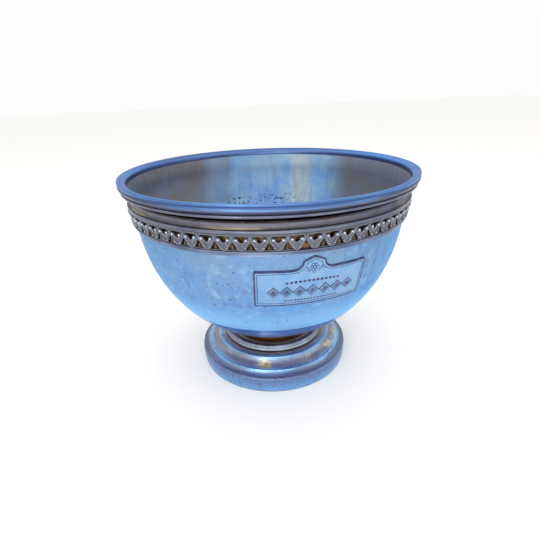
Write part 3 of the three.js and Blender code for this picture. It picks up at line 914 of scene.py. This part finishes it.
def make_rails():
    low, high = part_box("gallery_top_rail")[0].z / MM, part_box("gallery_top_rail")[1].z / MM
    outline = rounded([(176.2, low, 0), (181.7, low, 0.3), (182.1, low + 1.1, 0.6), (182.0, high - 0.8, 0.6),
                       (181.2, high, 0.5), (176.2, high, 0)])
    top = piece_from("top_rail", *lathe(outline), rail_silver, "trim_silver", 50)
    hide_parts("gallery_top_rail")
    low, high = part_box("gallery_bottom_rail")[0].z / MM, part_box("gallery_bottom_rail")[1].z / MM
    outline = [(174.9, low - 1.4), (176.6, low - 1.4), (177.5, low - 1.0), (177.3, low - 0.2),
               *arc(177.3, low + 1.05, 1.2, 1.0, -80, 80, 8),
               *arc(177.9, low + 3.0, 1.6, 1.1, -75, 85, 8), (176.4, high), (175.9, high)]
    bottom = piece_from("bottom_rail", *lathe(outline), low_rail_silver, "trim_silver", 50)
    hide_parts("gallery_bottom_rail")


# ---- Plaque: a thin plate with a ridged border, lozenges, bead rows and a berry cluster ----

# The spacing and height of the plaque's rows
LOZENGE_ROW = (13.8, 182.2)
UPPER_BEAD_ROW = (4.6, 194.8)
LOWER_BEAD_ROW = (3.6, 170.6)


def plaque_outline(inset):
    """The plaque's edge, moved in by an inset: straight sides and a crest with a low point."""
    half = PLAQUE_HALF_WIDTH - inset
    low, shoulder, top = PLAQUE_LOW + inset, PLAQUE_SHOULDER - inset, CREST_TOP - inset
    corners = [(-half, low, 1.2), (half, low, 1.2), (half, shoulder, 1.2)]
    right = [(18.0, shoulder, 4.0), (12.8 - inset, shoulder + 4.4, 2.4), (11.8 - inset, shoulder + 9.6, 1.6)]
    corners += right
    corners.append((0, top, 2.0))
    corners += [(-x, y, r) for x, y, r in reversed(right)]
    corners.append((-half, shoulder, 1.2))
    return rounded(corners, 5)


def finely(path, step=2.5):
    """A closed path with points added along its long sides."""
    points = []
    for i, start in enumerate(path):
        start, end = Vector(start), Vector(path[(i + 1) % len(path)])
        parts = max(1, round((end - start).length / step))
        points += [tuple(start.lerp(end, k / parts)) for k in range(parts)]
    return points


def lozenge_rim(x, y, half_width, half_height):
    corners = [(x + half_width, y), (x, y + half_height), (x - half_width, y), (x, y - half_height)]
    return finely(corners, 1.6)


def berries(y, swell=0.0):
    """A small cluster of round berries between two sprigs of leaves. Swell makes it wider and flatter."""
    solids = []
    for row, count in enumerate((2, 3, 2, 1)):
        for k in range(count):
            x = (k - (count - 1) / 2) * 3.1
            solids.append(pearl(x, y + 4.6 - row * 2.7, 1.5 + swell, 1.4 + swell, 1.1 - swell))
    for sign in (-1, 1):
        for k in range(3):
            x, turn = sign * (6.6 + k * 1.2), sign * (0.5 - k * 0.5)
            solids.append(pearl(x, y - 1.6 + k * 1.3, 2.4 + swell, 0.8 + swell, 0.8 - swell, 0.0, turn))
    return joined(*solids)


def plaque_place(across, height, out):
    """Wraps the plaque about the bowl, square to its slope."""
    radius = bowl_radius(height)
    radial, vertical = bowl_slope(height)
    lift = out + PLATE_RISE
    drawn_at = (PLAQUE_RADIUS + radius) / 2
    return radius + lift * radial, FRONT + across / drawn_at, height + lift * vertical


def make_plaque():
    """Raised lines and berries lie on wider, flatter dark shapes, patina with painted shade. The bead rows
    are these dark shapes alone.
    """
    bright = [plate([finely(plaque_outline(0))], PLATE_RISE - 0.35, 0.2)]
    dark = [loop_tube(finely(plaque_outline(0.6)), 0.85, 8, 0.45)]
    dark.append(loop_tube(finely(plaque_outline(3.5)), 0.35, 8, 0.5))
    bright.append(loop_tube(finely(plaque_outline(2.2)), 0.7, 8, 0.8))
    pitch, height = LOZENGE_ROW
    for i in range(-3, 4):
        lozenge = lozenge_rim(i * pitch, height, 5.2, 5.4)
        dark.append(loop_tube(lozenge, 1.5, 8, 0.3))
        bright.append(loop_tube(lozenge, 0.6, 8, 1.2))
        dark.append(pearl(i * pitch, height, 1.8, 2.0, 0.5))
    pitch, height = UPPER_BEAD_ROW
    for i in range(-6, 7):
        dark.append(pearl(i * pitch, height - 0.03 * i * i, 1.8, 1.5, 0.55))
    pitch, height = LOWER_BEAD_ROW
    for i in range(-8, 9):
        dark.append(pearl(i * pitch, height, 1.3, 0.95, 0.5))
    dark.append(berries(PLAQUE_SHOULDER, 0.45))
    bright.append(berries(PLAQUE_SHOULDER))
    for name, solids, metal in (("plaque", bright, plaque_silver), ("plaque_patina_and_shade", dark, dark_patina_and_shade)):
        flat = gridded(joined(*solids), 3.0)
        piece = piece_from(name, *bent(flat, plaque_place), metal, "plaque_silver", 40)
        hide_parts("label_plaque")


# ---- Foot ----


def bowl_under(radius):
    """The height of the bowl's underside at a radius."""
    share = (1 - (radius / BOWL_RADIUS) ** BOWL_FULLNESS) ** (1 / BOWL_FULLNESS)
    return BOWL_EQUATOR - BOWL_DEPTH * share


def make_foot():
    floor = DOME_TOP + 0.3
    outline = [
        (6.0, floor),
        (63.4, floor),
        (63.4, 45.6),
        (62.2, 46.6),
        (59.6, 47.4),
        *arc(61, 53, 7.6, 5.2, 245, 140, 14),
        (57.2, bowl_under(57.2) - 0.3),
        (50.0, bowl_under(50.0) - 0.3),
        (49.0, 44.2),
        (6.0, 44.2),
    ]
    neck = piece_from("neck", *lathe(outline), neck_silver, "foot_silver", 40)
    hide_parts("foot_neck")
    outline = [
        (64.2, 41.2),
        *arc(70.4, 42.7, 3.0, 2.2, -90, 50, 10),
        *arc(69.4, 46.5, 3.0, 2.6, -22, 110, 10),
        *arc(65.8, 47.2, 2.2, 1.7, 90, 180, 5),
    ]
    ring = piece_from("neck_ring", *lathe(outline), ring_silver, "foot_silver", 60)
    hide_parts("foot_neck_ring")
    outer = [(108.3, 22.8), (106.6, 23.3), (104.6, 24.0), (102.6, 25.0), (100.6, 26.5), (99.6, 28.0),
             *arc(98.0, 28.4, 1.2, 1.0, 10, 95, 6), (95.5, 29.8), (92.0, 30.6), (88.5, 31.8),
             (86.0, 33.2), (84.2, 35.1), (83.2, 36.6), *arc(81.1, 36.9, 1.6, 1.6, 10, 88, 6),
             (79.4, 38.7), (76.4, 39.0), (74.6, DOME_TOP)]
    under = [(radius - 1.6, height - 2.0) for radius, height in outer[1:]]
    outline = [*outer, (5.0, DOME_TOP), (5.0, DOME_TOP - 2.0), *reversed(under), (108.3, 21.7)]
    dome = piece_from("dome", *lathe(outline), foot_silver, "foot_silver", 40)
    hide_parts("foot_dome")
    outline = rounded([(102.6, 0, 0.6), (107.2, 0, 1.2), (108.3, 8, 3), (FOOT_RADIUS, SKIRT_TOP - 1.6, 1.0),
                       (FOOT_RADIUS - 0.5, SKIRT_TOP, 0.6), (104.4, SKIRT_TOP, 0.5), (104.4, 4, 2)])
    base = piece_from("base_ring", *lathe(outline), base_silver, "foot_silver", 40)
    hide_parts("foot_base_ring")


def make_fixing():
    """The stud, washer and nut keep their own solids."""
    for node in ("bowl_stud", "foot_washer", "foot_nut"):
        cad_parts[node].data.materials.clear()
        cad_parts[node].data.materials.append(fixing_steel)


# ---- Stage ----


def make_floor():
    mesh = bpy.data.meshes.new("floor")
    reach = 12.0  # metres
    corners = [(-reach, -reach, 0), (reach, -reach, 0), (reach, reach, 0), (-reach, reach, 0)]
    mesh.from_pydata(corners, [], [(0, 1, 2, 3)])
    floor = bpy.data.objects.new("floor", mesh)
    bpy.context.scene.collection.objects.link(floor)
    n = Nodes("pale_floor")
    mesh.materials.append(n.finish(Base_Color=(1.0, 0.97, 0.92, 1.0), Roughness=0.8))


def area_light(name, spot, target, size, power, tint=(1, 1, 1)):
    """A rectangular light at a spot, turned to a target."""
    light = bpy.data.lights.new(name, "AREA")
    light.shape = "RECTANGLE"
    light.size, light.size_y = size
    light.energy = power
    light.color = tint
    lamp = bpy.data.objects.new(name, light)
    lamp.location = spot
    lamp.rotation_euler = (Vector(target) - Vector(spot)).to_track_quat("-Z", "Y").to_euler()
    bpy.context.scene.collection.objects.link(lamp)


def make_world():
    """Soft light from all round, cool overhead, dimmer and warmer towards the floor; seen as near white."""
    world = bpy.data.worlds.new("studio")
    bpy.context.scene.world = world
    world.use_nodes = True
    tree = world.node_tree
    place = tree.nodes.new("ShaderNodeTexCoord")
    split = tree.nodes.new("ShaderNodeSeparateXYZ")
    ramp = tree.nodes.new("ShaderNodeValToRGB")
    tree.links.new(place.outputs["Generated"], split.inputs[0])
    tree.links.new(split.outputs[2], ramp.inputs[0])
    stops = [(0.0, (0.62, 0.58, 0.55, 1.0)), (0.22, (0.68, 0.67, 0.68, 1.0)),
             (0.5, (0.96, 0.98, 1.0, 1.0)), (1.0, (1.1, 1.12, 1.15, 1.0))]
    set_stops(ramp.color_ramp, stops)
    seen = tree.nodes.new("ShaderNodeLightPath")
    mix = tree.nodes.new("ShaderNodeMix")
    mix.data_type = "RGBA"
    tree.links.new(seen.outputs["Is Camera Ray"], mix.inputs[0])
    tree.links.new(ramp.outputs[0], mix.inputs[6])
    mix.inputs[7].default_value = (0.985, 0.985, 0.985, 1.0)
    tree.links.new(mix.outputs[2], tree.nodes["Background"].inputs["Color"])


def make_lights():
    middle = (0, 0, RIM_TOP * MM / 2)
    make_world()
    area_light("key", (-1.3, -1.3, 1.7), middle, (1.6, 1.2), 7)
    area_light("fill", (1.8, -0.9, 1.1), middle, (1.2, 1.4), 4)
    area_light("top", (0.1, 0.5, 2.0), middle, (1.8, 1.2), 6)
    area_light("glow", (-1.15, -1.5, 1.0), middle, (0.25, 0.9), 5, (1.0, 0.86, 0.62))
    area_light("low", (-0.4, -1.5, 0.42), (0, 0, 0.03), (1.6, 0.3), 6)


# The camera stands in front, a little left of the plaque, and looks down into the bowl
CAMERA_AZIMUTH = -14.45  # this and the next three angles in degrees
CAMERA_PITCH = 24.15
CAMERA_YAW = -0.24
CAMERA_ROLL = -1.94
CAMERA_DISTANCE = 2.799 * RIM_RADIUS
CAMERA_HEIGHT = 1.954 * RIM_RADIUS
CAMERA_LENS = 26.52  # millimetres


def make_camera():
    data = bpy.data.cameras.new("camera")
    data.lens = CAMERA_LENS
    data.sensor_width = 36
    camera = bpy.data.objects.new("camera", data)
    yaw, pitch, roll = (math.radians(a) for a in (CAMERA_YAW, CAMERA_PITCH, CAMERA_ROLL))
    forward = Vector((math.sin(yaw) * math.cos(pitch), math.cos(yaw) * math.cos(pitch), -math.sin(pitch)))
    right = forward.cross(Vector((0, 0, 1))).normalized()
    up = right.cross(forward)
    across = right * math.cos(roll) + up * math.sin(roll)
    upright = across.cross(forward)
    turn = Matrix.Rotation(math.radians(CAMERA_AZIMUTH), 4, "Z")
    stance = Matrix((across, upright, -forward)).transposed().to_4x4()
    spot = Matrix.Translation((0, -CAMERA_DISTANCE * MM, CAMERA_HEIGHT * MM))
    camera.matrix_world = turn @ spot @ stance
    bpy.context.scene.collection.objects.link(camera)
    bpy.context.scene.camera = camera
    bpy.context.scene.view_settings.view_transform = "Standard"


make_camera()
make_lights()
make_floor()
make_bowl()
make_rim()
make_cove()
make_gallery()
make_rails()
make_plaque()
make_foot()
make_fixing()

bpy.context.view_layer.update()
